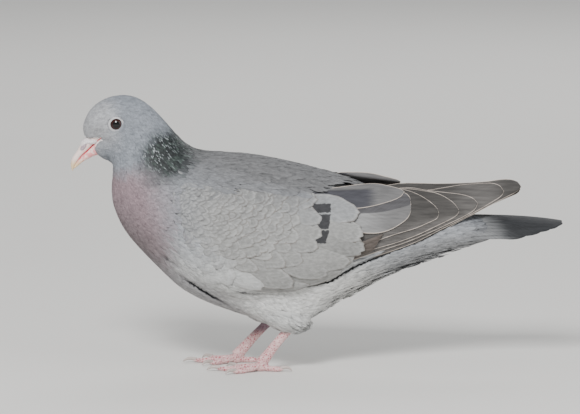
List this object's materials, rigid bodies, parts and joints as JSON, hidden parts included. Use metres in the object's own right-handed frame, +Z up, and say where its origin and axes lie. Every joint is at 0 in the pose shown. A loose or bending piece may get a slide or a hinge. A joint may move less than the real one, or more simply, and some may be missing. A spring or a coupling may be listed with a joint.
{
  "type": "stock dove",
  "caption": "Life-size still model of a standing grey dove with folded wings, looking ahead and a little down.",
  "frame": {"origin": "on the floor, under the middle of the bird's length and breadth", "axes": "+Z up; +X from bill to tail; +Y towards the bird's right side"},
  "size_m": [0.3098, 0.0882, 0.1728],
  "materials": {
    "head_plumage": "soft, fine, blue-grey",
    "neck_plumage": "soft, blue-grey with a glossy green patch each side and a pinkish fore-neck",
    "body_plumage": "soft, pale grey below, darker on the mantle",
    "wing_coverts": "soft, pale grey with fine darker edges",
    "tertials": "smooth, grey with cream edges and black bar marks",
    "primaries": "smooth, dark brown-grey with thin cream edges",
    "tail_feathers": "smooth, grey with a broad dark end band",
    "cere": "matt, powdery white",
    "bill": "satin horn, pink at the base and pale at the tip",
    "eye": "wet, very dark brown",
    "leg_skin": "scaly, pink-red with pale scale edges",
    "claw": "satin horn"
  },
  "bodies": {
    "root": {"head": "head_plumage", "neck": "neck_plumage", "trunk": "body_plumage", "cere": "cere", "bill_upper": "bill", "bill_lower": "bill", "eye_left": "eye", "wing_left_coverts": "wing_coverts", "wing_left_tertials": "tertials", "wing_left_primaries": "primaries", "thigh_left": "body_plumage", "shank_left": "leg_skin", "toe_left_inner": "leg_skin", "claw_left_inner": "claw", "toe_left_middle": "leg_skin", "claw_left_middle": "claw", "toe_left_outer": "leg_skin", "claw_left_outer": "claw", "toe_left_hind": "leg_skin", "claw_left_hind": "claw", "eye_right": "eye", "wing_right_coverts": "wing_coverts", "wing_right_tertials": "tertials", "wing_right_primaries": "primaries", "thigh_right": "body_plumage", "shank_right": "leg_skin", "toe_right_inner": "leg_skin", "claw_right_inner": "claw", "toe_right_middle": "leg_skin", "claw_right_middle": "claw", "toe_right_outer": "leg_skin", "claw_right_outer": "claw", "toe_right_hind": "leg_skin", "claw_right_hind": "claw", "tail": "tail_feathers"}
  },
  "joints": []
}
